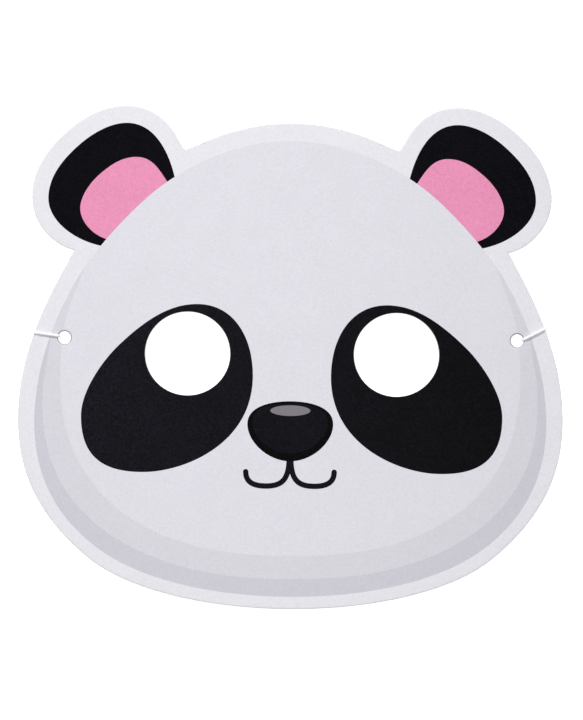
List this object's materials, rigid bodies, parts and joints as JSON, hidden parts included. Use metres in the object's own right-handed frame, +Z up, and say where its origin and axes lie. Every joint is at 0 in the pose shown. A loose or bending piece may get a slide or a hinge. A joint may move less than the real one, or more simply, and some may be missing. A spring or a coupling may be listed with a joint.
{
  "type": "paper panda mask",
  "caption": "Bowed die-cut card face mask in the shape of a panda head, with round eye holes and a thin elastic tied through punched holes.",
  "frame": {"origin": "under the middle of the card, on the surface that the mask lies on", "axes": "+Z up out of the printed face, +Y from the chin to the ears, +X to the right as the face is seen"},
  "size_m": [0.2106, 0.1934, 0.0134],
  "materials": {
    "card": "uncoated white card with a matt print",
    "elastic": "white braided round elastic"
  },
  "bodies": {
    "root": {"mask_card": "card", "elastic_loop_left": "elastic", "elastic_loop_right": "elastic", "elastic_cord": "elastic"}
  },
  "joints": []
}
